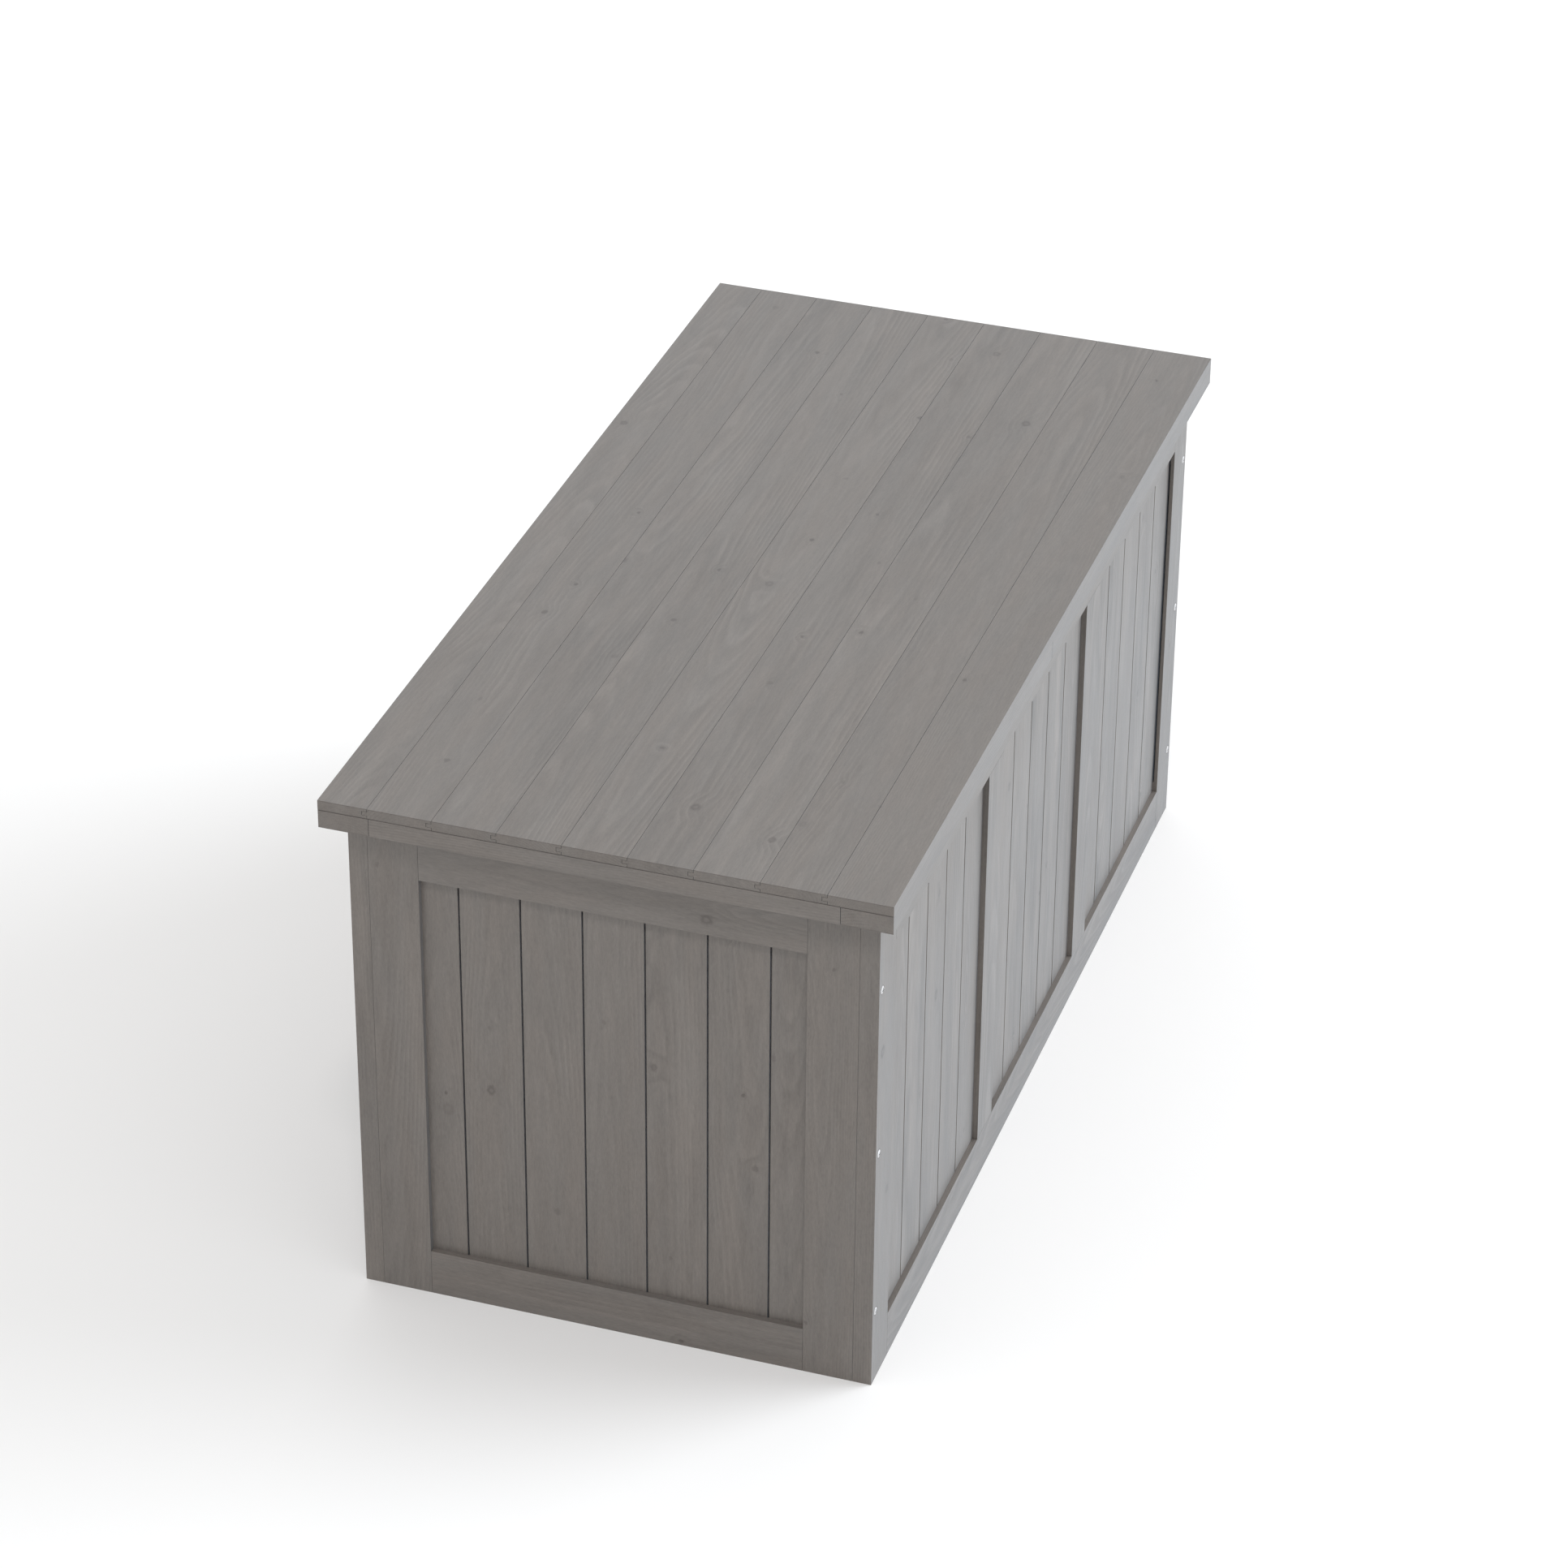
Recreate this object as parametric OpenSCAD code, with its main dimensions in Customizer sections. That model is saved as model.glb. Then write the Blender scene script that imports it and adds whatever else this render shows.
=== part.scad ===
// Wooden toy box: boarded frame walls, a boarded lid on butt hinges, and two lid struts.
// Millimetres. +X runs along the length, the front wall faces -Y, +Z is up.
// The origin is on the floor, under the middle of the closed box.

/* [Walls] */
// Length of the walls along X
wall_length = 1173; // [1000:1:1400]
// Depth of the walls along Y
wall_depth = 550; // [480:1:650]
// Height of the walls
wall_height = 562; // [500:1:700]
// Thickness of every frame member
stock = 20; // [18:0.5:24]
// Width of the stiles and of the bottom rails
stile_width = 53; // [48:1:65]
// Height of the top rails
top_rail_height = 55; // [48:1:70]
// Hairline at each joint between frame members
joint_line = 0.25; // [0.1:0.05:0.5]
// Line at each joint on the ends of the lid
lid_line = 0.5; // [0.1:0.05:0.8]

/* [Wall boards] */
// Distance from one board's centre to the next
board_pitch = 65; // [60:0.5:68]
// Thickness of the upright boards
wall_board_thickness = 13; // [11:0.5:13]
// Open joint between two upright boards
wall_board_gap = 2; // [0.5:0.1:3]
// Depth of the boards behind the face of a long wall
front_recess = 6; // [4:0.5:7]
// Depth of the boards behind the face of an end wall
end_recess = 7; // [4:0.5:7]
// Depth of the slot behind the lip of each long wall's right-hand stile
lip_slot = 2; // [0.5:0.5:3]

/* [Lid] */
// Thickness of the lid boards
lid_board_thickness = 11; // [9:0.5:14]
// Width of the lid's frame rails and battens
lid_rail_width = 53; // [48:1:60]
// Lid beyond the walls at each end
end_overhang = 21; // [15:1:30]
// Lid beyond the front wall
front_overhang = 19; // [15:1:30]
// Lid beyond the back wall
back_overhang = 22; // [21:1:30]
// Visible width of the front lid board
first_board_width = 66.5; // [60:0.5:70]
// Visible width of each of the next lid boards
lid_board_width = 67.5; // [60:0.5:68]

/* [Floor] */
// Height of the underside of the floor boards
floor_height = 30; // [24:1:32]
// Thickness of the floor boards
floor_board_thickness = 11; // [9:1:12]
// Number of floor boards, side by side along X
floor_board_count = 17; // [14:1:20]

/* [Hinges and struts] */
// Distance of the outer hinges from the middle
hinge_spacing = 410; // [300:5:450]
// Length of one hinge
hinge_length = 64; // [50:1:80]
// Opening angle of the lid at the struts' full length
open_angle = 85; // [60:1:88]
// Distance of both strut pivots from the hinge pin
strut_radius = 200; // [190:1:210]
// Angle between the two strut pivots, seen from the hinge pin, with the lid shut
strut_angle = 72; // [70:1:75]

/* [Hidden] */
$fn = 48;
clear = 0.05;
cut = 1;

// Lid outline
lid_length = wall_length + 2 * end_overhang;
lid_depth = wall_depth + front_overhang + back_overhang;
lid_board_count = 9;
lid_board_z = wall_height + stock;
batten_x = 215;

// Walls
front_y = -lid_depth / 2 + front_overhang;
back_y = front_y + wall_depth;
middle_y = (front_y + back_y) / 2;
end_length = wall_depth - 2 * stock - 2 * joint_line;
inner_x = wall_length / 2 - stock;
inner_front_y = front_y + stock;
inner_back_y = back_y - stock;
opening_top = wall_height - top_rail_height;
rebate = 8;
board_reach = 6;
bay_width = (wall_length - 4 * stile_width) / 3;
bay_step = bay_width + stile_width;
end_bay_width = end_length - 2 * stile_width;
lip_slot_start = 12;

// Tongue-and-groove joint
tongue_length = 5;
tongue_thickness = 4;
groove_slack = 0.25;
lid_board_gap = 0.4;
lid_edge_line_depth = 2;
floor_gap = 2;

// Dowels: diameter 8, half in each piece
dowel_r = 4;
dowel_half = 15;
bottom_dowel_z = (stile_width - rebate) / 2;
top_dowel_z = wall_height - (top_rail_height - rebate) / 2;

// Corner screws
corner_screw_inset = stock / 2;
corner_screw_heights = [87, 281, 475];
corner_head_r = 4.4;
corner_head_rise = 1;
corner_sink_r = 4.9;
corner_sink = 1;
corner_shank_r = 2.4;
corner_screw_length = 45;

// Small countersunk screws
small_head_r = 3.4;
small_head_depth = 1.6;
small_shank_r = 1.7;
small_screw_length = 15;

// Cleat and lid board screws
long_head_r = 3.8;
long_head_depth = 2;
long_shank_r = 2;
cleat_screw_length = 32;
lid_screw_length = 26;

// Floor supports
cleat = 20;
support_end_gap = 1;
cleat_screw_step = 250;

// Hinges
knuckle_r = 3.5;
knuckle_clearance = 0.3;
knuckle_count = 5;
knuckle_gap = 0.4;
leaf_thickness = 1.6;
leaf_start = 4.2;
wall_leaf_length = 26;
lid_leaf_length = 16.5;
hinge_pin_r = 2;
hinge_head_r = 3;
hinge_head_height = 1;
pin_y = back_y + knuckle_r + knuckle_clearance;
pin_z = wall_height - knuckle_r - knuckle_clearance;
hinge_x = [-hinge_spacing, 0, hinge_spacing];
wall_leaf_screw = 16;
lid_leaf_screw = 11;
leaf_screw_step = 22;

// Struts. Both pivots are as far from the hinge pin, so a strut turns at half the lid's rate.
strut_x = 544;
strut_drop_angle = 2;
tube_r = 9;
tube_bore_r = 8;
tube_length = 200;
tube_cap = 20;
tube_guide = 8;
rod_r = 4;
rod_clearance = 0.15;
piston_r = 7.8;
piston_height = 8;
eye_r = 7;
eye_width = 9;
eye_neck_r = 4.4;
stud_r = 3.5;
tube_start = 14;
socket_r = 6;
socket_start = 10;
socket_end = 24;
wall_pivot_angle = strut_angle + strut_drop_angle;
wall_pivot_y = pin_y - strut_radius * cos(wall_pivot_angle);
wall_pivot_z = pin_z - strut_radius * sin(wall_pivot_angle);
lid_pivot_y = pin_y - strut_radius * cos(strut_drop_angle);
lid_pivot_z = pin_z - strut_radius * sin(strut_drop_angle);
shut_length = 2 * strut_radius * sin(strut_angle / 2);
open_length = 2 * strut_radius * sin((strut_angle + open_angle) / 2);
rod_length = open_length - tube_length + tube_guide + piston_height + cut;
strut_lean = atan2(wall_pivot_y - lid_pivot_y, lid_pivot_z - wall_pivot_z);

// Strut brackets
wall_plate_thickness = 3;
wall_plate_width = 26;
wall_plate_height = 54;
wall_plate_screw = 19;
lid_plate_thickness = 2;
lid_plate_length = 64;
lid_plate_screw = 24;
lid_rail_inner_x = lid_length / 2 - lid_rail_width;
lid_plate_z = wall_height + stock / 2;
stud_head_r = 5;
stud_head = 1.2;
stud_play = 0.2;

// Colours
stain = "#8f8b86";
stain_light = "#9d9a96";
stain_dark = "#7b7772";
zinc = "#c9ccd0";
black_steel = "#2b2c2e";

lid_board_nodes = [for (i = [1:lid_board_count]) str("lid_board_", i)];

// ---- Placing: a wall is drawn with its face on y = 0, its inside towards +y, and x along it ----

module on_front() translate([0, front_y, 0]) children();
module on_back() translate([0, back_y, 0]) rotate([0, 0, 180]) children();
module on_left_end() translate([-wall_length / 2, middle_y, 0]) rotate([0, 0, -90]) children();
module on_right_end() translate([wall_length / 2, middle_y, 0]) rotate([0, 0, 90]) children();

// A box from its lowest to its highest corner
module block(low, high) translate(low) cube(high - low);

// The same thing at both ends of the box, the second one mirrored
module at_both_ends() {
    children();
    mirror([1, 0, 0]) children();
}

// ---- Fasteners: a screw's head is on z = 0 and its point is towards -z ----

module cross_recess(r, depth) {
    translate([-r, -0.5, -depth]) cube([2 * r, 1, depth + cut + 2]);
    translate([-0.5, -r, -depth]) cube([1, 2 * r, depth + cut + 2]);
}

module countersunk_screw(head_r, head_depth, shank_r, length) {
    tip = 2 * shank_r;
    difference() {
        union() {
            translate([0, 0, -head_depth]) cylinder(h = head_depth, r1 = shank_r, r2 = head_r);
            translate([0, 0, tip - length]) cylinder(h = length - head_depth - tip, r = shank_r);
            translate([0, 0, -length]) cylinder(h = tip, r1 = 0.3, r2 = shank_r);
        }
        cross_recess(head_r * 0.5, head_depth * 0.8);
    }
}

// The hole for a countersunk screw, from a little above z = 0
module countersunk_hole(head_r, head_depth, shank_r, length) {
    translate([0, 0, -head_depth]) cylinder(h = head_depth, r1 = shank_r + clear, r2 = head_r + clear);
    translate([0, 0, -clear]) cylinder(h = cut, r = head_r + clear);
    translate([0, 0, -length - clear]) cylinder(h = length, r = shank_r + clear);
}

module small_screw() countersunk_screw(small_head_r, small_head_depth, small_shank_r, small_screw_length);
module small_hole() countersunk_hole(small_head_r, small_head_depth, small_shank_r, small_screw_length);
module cleat_screw() countersunk_screw(long_head_r, long_head_depth, long_shank_r, cleat_screw_length);
module cleat_hole() countersunk_hole(long_head_r, long_head_depth, long_shank_r, cleat_screw_length);
module lid_screw() countersunk_screw(long_head_r, long_head_depth, long_shank_r, lid_screw_length);
module lid_hole() countersunk_hole(long_head_r, long_head_depth, long_shank_r, lid_screw_length);

module corner_screw() {
    dome_r = (corner_head_r * corner_head_r + corner_head_rise * corner_head_rise) / (2 * corner_head_rise);
    tip = 2 * corner_shank_r;
    difference() {
        union() {
            intersection() {
                translate([0, 0, corner_head_rise - dome_r]) sphere(r = dome_r, $fn = 96);
                translate([0, 0, -corner_sink]) cylinder(h = 4, r = corner_head_r);
            }
            translate([0, 0, tip - corner_screw_length]) {
                cylinder(h = corner_screw_length - tip, r = corner_shank_r);
            }
            translate([0, 0, -corner_screw_length]) cylinder(h = tip, r1 = 0.3, r2 = corner_shank_r);
        }
        cross_recess(corner_head_r * 0.55, 0.8);
    }
}

module corner_hole() {
    translate([0, 0, -corner_sink]) cylinder(h = corner_sink + cut, r = corner_sink_r);
    translate([0, 0, -corner_screw_length - clear]) {
        cylinder(h = corner_screw_length, r = corner_shank_r + clear);
    }
}

// One long wall's corner screws, in the wall's own place
module at_corner_screws() {
    for (side = [-1, 1], z = corner_screw_heights) {
        translate([side * (wall_length / 2 - corner_screw_inset), 0, z]) rotate([90, 0, 0]) children();
    }
}

module all_corner_holes() {
    on_front() at_corner_screws() corner_hole();
    on_back() at_corner_screws() corner_hole();
}

// A dowel, or with slack the hole for it, centred on the joint and lying along Z
module dowel(slack = 0) {
    translate([0, 0, -dowel_half - slack]) cylinder(h = 2 * (dowel_half + slack), r = dowel_r + slack);
}

// Where a wall's dowels lie: across the ends of its rails, and up into its inner stiles
module at_dowels(half_length, inner_stiles) {
    for (side = [-1, 1], z = [bottom_dowel_z, top_dowel_z]) {
        translate([side * (half_length - stile_width), stock / 2, z]) rotate([0, 90, 0]) children();
    }
    for (x = inner_stiles, z = [stile_width, opening_top]) translate([x, stock / 2, z]) children();
}

// ---- Wall frames ----

inner_stile_x = bay_step / 2;

// The recess that each bay's boards drop into from the inside of the wall
module bay_rebate(centre, width, recess) {
    block([centre - width / 2 - rebate, recess, stile_width - rebate],
          [centre + width / 2 + rebate, stock + cut, opening_top + rebate]);
}

module long_wall_cuts() {
    for (bay = [-1:1]) bay_rebate(bay * bay_step, bay_width, front_recess);
    edge = bay_step + bay_width / 2;
    block([edge - cut, front_recess - lip_slot, stile_width + lip_slot_start],
          [edge + rebate, stock + cut, opening_top]);
    at_dowels(wall_length / 2, [-inner_stile_x, inner_stile_x]) dowel(clear);
    at_corner_screws() corner_hole();
    cleat_holes_in_wall();
}

module end_wall_cuts() {
    bay_rebate(0, end_bay_width, end_recess);
    at_dowels(end_length / 2, []) dowel(clear);
}

// side is -1 for the stile at the wall's left, 1 for the one at its right
module end_stile(half_length, side) {
    low = side < 0 ? -half_length : half_length - stile_width;
    block([low, 0, 0], [low + stile_width, stock, wall_height]);
}

module long_wall_end_stile(side) color(stain_light) difference() {
    end_stile(wall_length / 2, side);
    long_wall_cuts();
}

module long_wall_inner_stile(side) color(stain_light) difference() {
    block([side * inner_stile_x - stile_width / 2, 0, stile_width + joint_line],
          [side * inner_stile_x + stile_width / 2, stock, opening_top - joint_line]);
    long_wall_cuts();
}

module rail(half_length, low, high) {
    half = half_length - stile_width - joint_line;
    block([-half, 0, low], [half, stock, high]);
}

module long_wall_top_rail() color(stain_light) difference() {
    rail(wall_length / 2, opening_top, wall_height);
    long_wall_cuts();
}

module long_wall_bottom_rail() color(stain_light) difference() {
    rail(wall_length / 2, 0, stile_width);
    long_wall_cuts();
}

module end_wall_stile(side) color(stain_dark) difference() {
    end_stile(end_length / 2, side);
    end_wall_cuts();
}

module end_wall_top_rail() color(stain_dark) difference() {
    rail(end_length / 2, opening_top, wall_height);
    end_wall_cuts();
}

module end_wall_bottom_rail() color(stain_dark) difference() {
    rail(end_length / 2, 0, stile_width);
    end_wall_cuts();
}

// ---- Boards ----

// Section of a board from x = low to x = high, with its face on y = 0
module board_section(low, high, thickness, gap, tongue, groove) {
    middle = thickness / 2;
    difference() {
        union() {
            translate([low + (groove ? gap / 2 : 0), 0]) {
                square([high - low - (groove ? gap / 2 : 0) - (tongue ? gap / 2 : 0), thickness]);
            }
            if (tongue) {
                translate([high - gap / 2 - cut, middle - tongue_thickness / 2]) {
                    square([tongue_length + gap + cut, tongue_thickness]);
                }
            }
        }
        if (groove) {
            translate([low - cut, middle - tongue_thickness / 2 - groove_slack]) {
                square([tongue_length + gap + cut + groove_slack, tongue_thickness + 2 * groove_slack]);
            }
        }
    }
}

// The upright boards of one bay, with their joints evenly placed about its middle
module bay_boards(centre, width, count, recess) {
    edge = width / 2 + board_reach;
    height = opening_top - stile_width + 2 * board_reach;
    for (i = [0:count - 1]) {
        low = i == 0 ? -edge : (i - count / 2) * board_pitch;
        high = i == count - 1 ? edge : (i + 1 - count / 2) * board_pitch;
        translate([centre, recess, stile_width - board_reach]) linear_extrude(height) {
            board_section(low, high, wall_board_thickness, wall_board_gap, i < count - 1, i > 0);
        }
    }
}

module long_wall_boards(bay) color(stain_light) {
    bay_boards(bay * bay_step, bay_width, 5, front_recess);
}

module end_wall_boards() color(stain_dark) bay_boards(0, end_bay_width, 7, end_recess);

// ---- Front and back walls ----

module front_left_stile() on_front() long_wall_end_stile(-1);
module front_right_stile() on_front() long_wall_end_stile(1);
module front_inner_left_stile() on_front() long_wall_inner_stile(-1);
module front_inner_right_stile() on_front() long_wall_inner_stile(1);
module front_top_rail() on_front() long_wall_top_rail();
module front_bottom_rail() on_front() long_wall_bottom_rail();
module front_left_boards() on_front() long_wall_boards(-1);
module front_middle_boards() on_front() long_wall_boards(0);
module front_right_boards() on_front() long_wall_boards(1);

// Left and right of the back wall are named as seen from the front
module back_left_stile() hinged_wall() long_wall_end_stile(1);
module back_right_stile() hinged_wall() long_wall_end_stile(-1);
module back_inner_left_stile() hinged_wall() long_wall_inner_stile(1);
module back_inner_right_stile() hinged_wall() long_wall_inner_stile(-1);
module back_top_rail() hinged_wall() long_wall_top_rail();
module back_bottom_rail() hinged_wall() long_wall_bottom_rail();
module back_left_boards() on_back() long_wall_boards(1);
module back_middle_boards() on_back() long_wall_boards(0);
module back_right_boards() on_back() long_wall_boards(-1);

// A piece of the back wall, drilled for the hinge leaves
module hinged_wall() color(stain_light) difference() {
    on_back() children();
    at_wall_leaf_screws() small_hole();
}

// ---- End walls ----

module strut_end_stile(side) color(stain_dark) difference() {
    children();
    all_corner_holes();
    at_both_ends() at_wall_bracket_screws() small_hole();
}

module left_end_front_stile() strut_end_stile() on_left_end() end_wall_stile(1);
module left_end_back_stile() strut_end_stile() on_left_end() end_wall_stile(-1);
module left_end_top_rail() on_left_end() end_wall_top_rail();
module left_end_bottom_rail() on_left_end() end_wall_bottom_rail();
module left_end_boards() on_left_end() end_wall_boards();
module right_end_front_stile() strut_end_stile() on_right_end() end_wall_stile(-1);
module right_end_back_stile() strut_end_stile() on_right_end() end_wall_stile(1);
module right_end_top_rail() on_right_end() end_wall_top_rail();
module right_end_bottom_rail() on_right_end() end_wall_bottom_rail();
module right_end_boards() on_right_end() end_wall_boards();

module frame_dowels() color("#c9a775") {
    on_front() at_dowels(wall_length / 2, [-inner_stile_x, inner_stile_x]) dowel();
    on_back() at_dowels(wall_length / 2, [-inner_stile_x, inner_stile_x]) dowel();
    on_left_end() at_dowels(end_length / 2, []) dowel();
    on_right_end() at_dowels(end_length / 2, []) dowel();
}

module corner_screws() color(zinc) {
    on_front() at_corner_screws() corner_screw();
    on_back() at_corner_screws() corner_screw();
}

// ---- Floor ----

module at_cleat_screws() {
    for (i = [-2:2]) {
        translate([i * cleat_screw_step, stock + cleat, floor_height - cleat / 2]) {
            rotate([-90, 0, 0]) children();
        }
    }
}

module cleat_holes_in_wall() at_cleat_screws() cleat_hole();

module one_cleat() difference() {
    block([support_end_gap - inner_x, stock, floor_height - cleat],
          [inner_x - support_end_gap, stock + cleat, floor_height]);
    at_cleat_screws() cleat_hole();
}

module floor_cleats() color(stain_dark) {
    on_front() one_cleat();
    on_back() one_cleat();
}

module cleat_screws() color(zinc) {
    on_front() at_cleat_screws() cleat_screw();
    on_back() at_cleat_screws() cleat_screw();
}

module floor_middle_bearer() color(stain_dark) {
    block([support_end_gap - inner_x, middle_y - stock / 2, 0],
          [inner_x - support_end_gap, middle_y + stock / 2, floor_height]);
}

module floor_boards() color(stain) {
    step = 2 * (inner_x - support_end_gap) / floor_board_count;
    for (i = [0:floor_board_count - 1]) {
        low = support_end_gap - inner_x + i * step;
        block([low + floor_gap / 2, inner_front_y + support_end_gap, floor_height],
              [low + step - floor_gap / 2, inner_back_y - support_end_gap,
               floor_height + floor_board_thickness]);
    }
}

// ---- Lid ----

lid_front_y = -lid_depth / 2;
lid_back_y = lid_depth / 2;
lid_rail_y = [lid_front_y + lid_rail_width, lid_back_y - lid_rail_width];
lid_cross_y = [lid_rail_y[0] + lid_line, lid_rail_y[1] - lid_line];
cross_rail_x = [-lid_length / 2 + lid_rail_width / 2, -batten_x, batten_x,
                lid_length / 2 - lid_rail_width / 2];

// Where board number i begins and ends, counted from the front
function board_front(i) = i == 1 ? lid_front_y : lid_front_y + first_board_width + (i - 2) * lid_board_width;
function board_back(i) = i == lid_board_count ? lid_back_y : board_front(i + 1);

// The lid's screws go up through the rails and battens into each board
module at_lid_board_screws() {
    for (x = cross_rail_x, i = [1:lid_board_count]) {
        y = (board_front(i) + board_back(i)) / 2;
        translate([x, y, wall_height]) rotate([180, 0, 0]) children();
    }
}

module lid_board(i) color(stain) difference() {
    translate([-lid_length / 2, 0, lid_board_z + lid_board_thickness]) {
        mirror([0, 0, 1]) rotate([90, 0, 90]) linear_extrude(lid_length) {
            board_section(board_front(i), board_back(i), lid_board_thickness, lid_board_gap,
                          i < lid_board_count, i > 1);
        }
    }
    at_lid_board_screws() lid_hole();
}

// The line that shows between the boards and the frame on the ends of the lid
module lid_edge_line() at_both_ends() {
    inset = lid_edge_line_depth / 2;
    block([lid_length / 2 - lid_edge_line_depth, lid_front_y + inset, lid_board_z - lid_line],
          [lid_length / 2 + cut, lid_back_y - inset, lid_board_z + cut]);
}

module lid_frame_piece(low, high) color(stain) difference() {
    block([low[0], low[1], wall_height], [high[0], high[1], lid_board_z]);
    lid_edge_line();
    at_lid_board_screws() lid_hole();
    at_lid_leaf_screws() small_hole();
    at_both_ends() at_lid_bracket_screws() small_hole();
}

module lid_front_rail() lid_frame_piece([-lid_length / 2, lid_front_y], [lid_length / 2, lid_rail_y[0]]);
module lid_back_rail() lid_frame_piece([-lid_length / 2, lid_rail_y[1]], [lid_length / 2, lid_back_y]);
module lid_right_rail() lid_frame_piece([lid_rail_inner_x, lid_cross_y[0]], [lid_length / 2, lid_cross_y[1]]);
module lid_left_rail() {
    lid_frame_piece([-lid_length / 2, lid_cross_y[0]], [-lid_rail_inner_x, lid_cross_y[1]]);
}

module lid_cross_battens() at_both_ends() {
    lid_frame_piece([batten_x - lid_rail_width / 2, lid_cross_y[0]],
                    [batten_x + lid_rail_width / 2, lid_cross_y[1]]);
}

module lid_board_screws() color(zinc) at_lid_board_screws() lid_screw();

// ---- Hinges: drawn about the pin, which lies along X ----

knuckle_step = hinge_length / knuckle_count;

// A leaf along -z with its fixed side towards -y. Its knuckles are number first, first + 2 and so on.
module leaf(first, length, screw_distance) {
    wood = -knuckle_r - knuckle_clearance;
    difference() {
        union() {
            block([-hinge_length / 2, wood, -length], [hinge_length / 2, wood + leaf_thickness, -leaf_start]);
            for (i = [first:2:knuckle_count - 1]) {
                low = -hinge_length / 2 + i * knuckle_step + knuckle_gap / 2;
                high = low + knuckle_step - knuckle_gap;
                block([low, wood, -leaf_start - cut], [high, wood + leaf_thickness, 0]);
                translate([low, 0, 0]) rotate([0, 90, 0]) cylinder(h = high - low, r = knuckle_r);
            }
        }
        translate([-hinge_length / 2 - cut, 0, 0]) rotate([0, 90, 0]) {
            cylinder(h = hinge_length + 2 * cut, r = hinge_pin_r + clear);
        }
        at_leaf_screws(screw_distance) small_hole();
    }
}

module at_leaf_screws(distance) {
    surface = leaf_thickness - knuckle_r - knuckle_clearance;
    for (i = [-1:1]) translate([i * leaf_screw_step, surface, -distance]) rotate([-90, 0, 0]) children();
}

// The wall leaf hangs from the pin; the lid leaf is turned to lie under the overhang
module at_hinges() for (x = hinge_x) translate([x, pin_y, pin_z]) children();
module turned_for_lid() mirror([0, 0, 1]) rotate([90, 0, 0]) children();
module at_wall_leaf_screws() at_hinges() at_leaf_screws(wall_leaf_screw) children();
module at_lid_leaf_screws() at_hinges() turned_for_lid() at_leaf_screws(lid_leaf_screw) children();

module hinge_wall_leaves() color(zinc) at_hinges() leaf(0, wall_leaf_length, wall_leaf_screw);
module hinge_lid_leaves() color(zinc) at_hinges() turned_for_lid() leaf(1, lid_leaf_length, lid_leaf_screw);

module hinge_pins() color(zinc) at_hinges() rotate([0, 90, 0]) {
    half = (hinge_length - knuckle_gap) / 2;
    translate([0, 0, -half]) cylinder(h = 2 * half, r = hinge_pin_r);
    translate([0, 0, half]) cylinder(h = hinge_head_height, r = hinge_head_r);
    translate([0, 0, -half - hinge_head_height]) cylinder(h = hinge_head_height, r = hinge_head_r);
}

// ---- Struts, at the +X end. The other end's are mirrored. ----

module at_wall_pivot() translate([strut_x, wall_pivot_y, wall_pivot_z]) children();
module at_lid_pivot() translate([strut_x, lid_pivot_y, lid_pivot_z]) children();
module along_strut() rotate([strut_lean, 0, 0]) children();

// An eye about the X axis, with a neck along Z
module eye() {
    translate([-eye_width / 2, 0, 0]) rotate([0, 90, 0]) cylinder(h = eye_width, r = eye_r);
    cylinder(h = tube_start + cut, r = eye_neck_r);
}

module eye_bore() {
    translate([-tube_r, 0, 0]) rotate([0, 90, 0]) cylinder(h = 2 * tube_r, r = stud_r + clear);
}

module strut_tube() color(black_steel) at_wall_pivot() along_strut() difference() {
    union() {
        eye();
        translate([0, 0, tube_start]) cylinder(h = tube_length - tube_start, r = tube_r);
    }
    eye_bore();
    translate([0, 0, tube_cap]) cylinder(h = tube_length - tube_cap - tube_guide, r = tube_bore_r);
    translate([0, 0, tube_length - tube_guide - cut]) {
        cylinder(h = tube_guide + 2 * cut, r = rod_r + rod_clearance);
    }
}

module strut_rod() color("#d8dade") at_lid_pivot() along_strut() mirror([0, 0, 1]) difference() {
    union() {
        eye();
        translate([0, 0, socket_start]) cylinder(h = socket_end - socket_start, r = socket_r);
        cylinder(h = rod_length, r = rod_r);
        translate([0, 0, rod_length - piston_height]) cylinder(h = piston_height, r = piston_r);
    }
    eye_bore();
}

// A stud towards -X from x = 0, with the strut's eye turning on it about x = -reach
module stud(reach, shoulder_r) {
    eye_half = eye_width / 2 + stud_play;
    rotate([0, -90, 0]) {
        cylinder(h = reach - eye_half, r = shoulder_r);
        cylinder(h = reach + eye_half + stud_head, r = stud_r);
        translate([0, 0, reach + eye_half]) cylinder(h = stud_head, r = stud_head_r);
    }
}

module at_wall_bracket_screws() {
    for (dz = [-wall_plate_screw, wall_plate_screw]) {
        translate([inner_x - wall_plate_thickness, wall_pivot_y, wall_pivot_z + dz]) {
            rotate([0, -90, 0]) children();
        }
    }
}

module strut_wall_bracket() difference() {
    union() {
        block([inner_x - wall_plate_thickness, wall_pivot_y - wall_plate_width / 2,
               wall_pivot_z - wall_plate_height / 2],
              [inner_x, wall_pivot_y + wall_plate_width / 2, wall_pivot_z + wall_plate_height / 2]);
        translate([inner_x - wall_plate_thickness, wall_pivot_y, wall_pivot_z]) {
            stud(inner_x - wall_plate_thickness - strut_x, eye_r);
        }
    }
    at_wall_bracket_screws() small_hole();
}

module at_lid_bracket_screws() {
    for (dy = [-lid_plate_screw, 0, lid_plate_screw]) {
        translate([lid_rail_inner_x - lid_plate_thickness, lid_pivot_y + dy, lid_plate_z]) {
            rotate([0, -90, 0]) children();
        }
    }
}

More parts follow.
